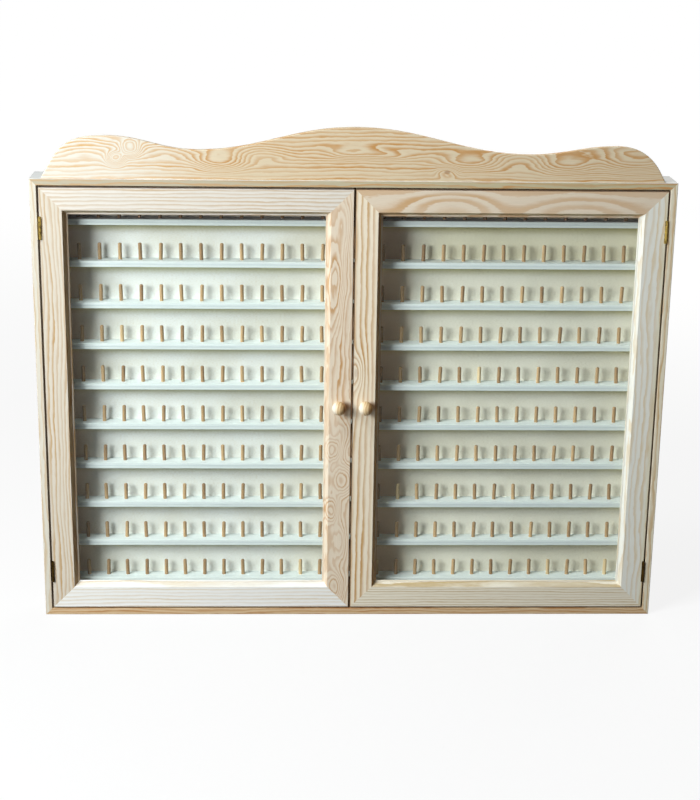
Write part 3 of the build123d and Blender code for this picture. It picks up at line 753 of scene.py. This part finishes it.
def backMaterial(settings):
    material, tree, surface = newMaterial("backBoard")
    where = millimetres(tree)
    place = axes(tree, where)
    cloud = noise(tree, stretch(tree, where, settings["cloudCells"]), 3.0).outputs["Fac"]
    fibre = noise(tree, stretch(tree, where, settings["fibreCells"]), 3.0).outputs["Fac"]
    speck = noise(tree, stretch(tree, where, settings["speckCells"]), 2.0).outputs["Fac"]
    amount = reckon(tree, "ADD", ramp(tree, cloud, *settings["cloudDeep"]),
                    ramp(tree, fibre, *settings["fibreDeep"]))
    amount = reckon(tree, "ADD", amount, ramp(tree, speck, *settings["speckDeep"]))
    # painted light: the ground is drawn cooler on the left, nearer the window, and warmer on the
    # right
    ground = mixColors(tree, ramp(tree, place["X"], *settings["fade"]),
                       tone(*settings["left"]), tone(*settings["right"]))
    color = mixColors(tree, amount, ground, tone(*settings["deep"]))
    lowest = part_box("shelf_10")[0].z * perMetre
    below = reckon(tree, "FLOORED_MODULO", reckon(tree, "SUBTRACT", lowest, place["Z"]),
                   pegSettings["rowPitch"])
    middle, edge, core = settings["stile"]
    height = reckon(tree, "SUBTRACT", place["Z"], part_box("shelf_01")[1].z * perMetre)
    firstBayShade = reckon(tree, "MULTIPLY", ramp(tree, place["X"], *settings["inRight"]),
                      ramp(tree, height, *settings["bayBelow"]))
    shades = {  # painted shade: the panel is drawn darker where less light reaches it
        "wallShade": ramp(tree, place["X"], *settings["wall"]),
        "stileShade": ramp(tree, awayFrom(tree, place["X"], middle), edge, core),
        "firstBayShade": firstBayShade,
        "railShade": ramp(tree, height, *settings["railShadeBelow"]),
        "gapShade": ramp(tree, awayFrom(tree, place["X"], settings["gapShadeMiddle"]),
                     *settings["gapShadeEnds"]),
        "shelfShade": ramp(tree, below, settings["shelfShadeHigh"], 0.0),
    }
    for shade, mask in shades.items():
        color = tint(tree, mask, color, settings[shade])
    raw = mixColors(tree, amount, tone(*settings["raw"]), tone(*settings["rawDeep"]))
    color = mixColors(tree, ramp(tree, facing(tree)["Y"], *settings["front"]), raw, color)
    finishSurface(tree, surface, color, ramp(tree, fibre, *settings["fibreRoughness"]), fibre,
                  settings)
    dress(material, "back_panel")


backMaterial(backSettings)


# Panes: clear glass with a faint green cast; lamps pass it, so the shelves are lit

glassSettings = {"tint": (0.975, 0.995, 0.985), "roughness": 0.01, "index": 1.22,
                 "specular": 0.5}


def glassMaterial(settings):
    material, tree, surface = newMaterial("paneGlass")
    surface.inputs["Base Color"].default_value = (*settings["tint"], 1.0)
    surface.inputs["Roughness"].default_value = settings["roughness"]
    surface.inputs["IOR"].default_value = settings["index"]
    surface.inputs["Specular IOR Level"].default_value = settings["specular"]
    surface.inputs["Transmission Weight"].default_value = 1.0
    clear = put(tree, "BsdfTransparent", {"Color": (*settings["tint"], 1.0)})
    path = put(tree, "LightPath")
    passing = reckon(tree, "MAXIMUM", path.outputs["Is Shadow Ray"],
                     path.outputs["Is Diffuse Ray"])
    both = put(tree, "MixShader", {"Fac": passing})
    feed(tree, both.inputs[1], surface.outputs["BSDF"])
    feed(tree, both.inputs[2], clear.outputs["BSDF"])
    feed(tree, tree.nodes["Material Output"].inputs["Surface"], both.outputs["Shader"])
    dress(material, "left_door_glass", "right_door_glass")


glassMaterial(glassSettings)
print("back panel and panes done")


# Metal and plastic

metalSettings = {
    "hingeBrass": {
        "bright": (172, 148, 76), "dull": (84, 66, 34), "polish": 0.22,
        "darkBelow": (104, 92, 78), "darkBelowEnds": (330.0, 250.0),
        "pieces": ["left_hinge_case_leaves", "right_hinge_case_leaves",
                   "left_door_hinge_leaves", "right_door_hinge_leaves", "hinge_pins"],
    },
    "zincSteel": {
        "bright": (196, 198, 200), "dull": (140, 142, 146), "polish": 0.22,
        "pieces": ["case_small_screws", "left_door_small_screws", "right_door_small_screws",
                   "crest_screws", "back_panel_pins", "hanging_plate_screws", "hanging_plates",
                   "left_door_knob_screw", "right_door_knob_screw", "left_door_strike_plate",
                   "right_door_strike_plate"],
    },
    "magnetSteel": {
        "bright": (112, 112, 116), "dull": (64, 64, 68), "polish": 0.34,
        "pieces": ["catch_magnets"],
    },
}
metalFinish = {"bump": 0.12, "bumpDepth": 0.00005}


def metalMaterial(name, settings):
    material, tree, surface = newMaterial(name)
    where = millimetres(tree)
    skin = fillGroup(tree, "metalSkin", {
        "Vector": where, "Bright": tone(*settings["bright"]),
        "Dull": tone(*settings["dull"]), "Polish": settings["polish"]})
    color = skin["Color"]
    if "darkBelow" in settings:  # the lower ones are drawn darker
        color = tint(tree, ramp(tree, axes(tree, where)["Z"], *settings["darkBelowEnds"]), color,
                     settings["darkBelow"])
    finishSurface(tree, surface, color, skin["Roughness"], skin["Height"], metalFinish)
    surface.inputs["Metallic"].default_value = 1.0
    dress(material, *settings["pieces"])


for metalName, metal in metalSettings.items():
    metalMaterial(metalName, metal)

plasticSettings = {
    "tone": (232, 226, 212), "scuff": (196, 188, 172), "scuffCells": (3.0, 3.0, 3.0),
    "scuffShare": (0.5, 0.75, 0.0, 0.6), "scuffRoughness": (0.3, 0.7, 0.32, 0.5),
    "grainCells": (0.25, 0.25, 0.25), "bump": 0.15, "bumpDepth": 0.00008,
}


def plasticMaterial(settings):
    material, tree, surface = newMaterial("catchPlastic")
    where = millimetres(tree)
    scuff = noise(tree, stretch(tree, where, settings["scuffCells"]), 4.0, 0.65).outputs["Fac"]
    grain = noise(tree, stretch(tree, where, settings["grainCells"]), 1.0).outputs["Fac"]
    color = mixColors(tree, ramp(tree, scuff, *settings["scuffShare"]), tone(*settings["tone"]),
                      tone(*settings["scuff"]))
    finishSurface(tree, surface, color, ramp(tree, scuff, *settings["scuffRoughness"]), grain,
                  settings)
    dress(material, "catch_housings")


plasticMaterial(plasticSettings)
print("metal and plastic done")


# Floor, backdrop and light

floorSettings = {"size": 44.0, "tone": 0.12, "roughness": 0.9, "glow": (0.86, 1.0),
                 "glowReach": (0.8, 4.0)}


def showsBackground(tree):  # seen by the camera, in a reflection or through glass
    path = put(tree, "LightPath")
    return reckon(tree, "MAXIMUM", path.outputs["Is Camera Ray"], reckon(
        tree, "MAXIMUM", path.outputs["Is Glossy Ray"], path.outputs["Is Transmission Ray"]))


def makeFloor(settings):
    half = settings["size"] / 2
    mesh = bpy.data.meshes.new("studioFloor")
    mesh.from_pydata([(-half, -half, 0), (half, -half, 0), (half, half, 0), (-half, half, 0)],
                     [], [(0, 1, 2, 3)])
    floor = bpy.data.objects.new("studioFloor", mesh)
    bpy.context.scene.collection.objects.link(floor)
    material, tree, surface = newMaterial("paleFloor")
    surface.inputs["Base Color"].default_value = (settings["tone"],) * 3 + (1.0,)
    surface.inputs["Roughness"].default_value = settings["roughness"]
    surface.inputs["Specular IOR Level"].default_value = 0.0
    surface.inputs["Emission Color"].default_value = (1.0, 1.0, 1.0, 1.0)
    distance = put(tree, "VectorMath", operation="LENGTH")
    feed(tree, distance.inputs[0], put(tree, "TexCoord").outputs["Object"])
    glow = ramp(tree, distance.outputs["Value"], *settings["glowReach"], *settings["glow"])
    feed(tree, surface.inputs["Emission Strength"], reckon(
        tree, "MULTIPLY", showsBackground(tree), glow))
    mesh.materials.append(material)


makeFloor(floorSettings)

worldSettings = {"ambient": (1.0, 0.92, 0.76), "strength": 0.008}


def makeWorld(settings):
    world = bpy.data.worlds.new("studioWorld")
    bpy.context.scene.world = world
    world.use_nodes = True
    tree = world.node_tree
    tree.nodes.clear()
    shown = put(tree, "Background", {"Color": (1.0, 1.0, 1.0, 1.0), "Strength": 1.0})
    ambient = put(tree, "Background", {"Color": (*settings["ambient"], 1.0),
                                       "Strength": settings["strength"]})
    both = put(tree, "MixShader", {"Fac": showsBackground(tree)})
    feed(tree, both.inputs[1], ambient.outputs[0])
    feed(tree, both.inputs[2], shown.outputs[0])
    output = put(tree, "OutputWorld")
    feed(tree, output.inputs["Surface"], both.outputs[0])


makeWorld(worldSettings)

lampSettings = {  # a tall window on the left, the sky in its upper part, the room behind
    "windowLight": {"place": (-1.61, -1.45, 1.13), "aim": (0.0, 0.0, 0.33), "size": (1.05, 1.0),
                    "power": 57.0, "color": (0.98, 1.0, 1.0)},
    "skyLight": {"place": (-0.77, -0.86, 2.32), "aim": (0.0, 0.0, 0.33), "size": (0.7, 0.7),
                 "power": 22.0, "color": (0.92, 0.97, 1.0)},
    "roomLight": {"place": (1.1, 2.3, 1.7), "aim": (0.0, 0.0, 0.33), "size": (1.6, 1.2),
                  "power": 30.0, "color": (1.0, 0.98, 0.95)},
}


def makeLamp(name, settings):
    data = bpy.data.lights.new(name, "AREA")
    data.shape = "RECTANGLE"
    data.size, data.size_y = settings["size"]
    data.energy = settings["power"]
    data.color = settings["color"]
    lamp = bpy.data.objects.new(name, data)
    lamp.location = settings["place"]
    lamp.visible_camera = False
    aim = Vector(settings["aim"]) - Vector(settings["place"])
    lamp.rotation_euler = aim.to_track_quat("-Z", "Y").to_euler()
    bpy.context.scene.collection.objects.link(lamp)


for lampName, lamp in lampSettings.items():
    makeLamp(lampName, lamp)
print("floor and light done")
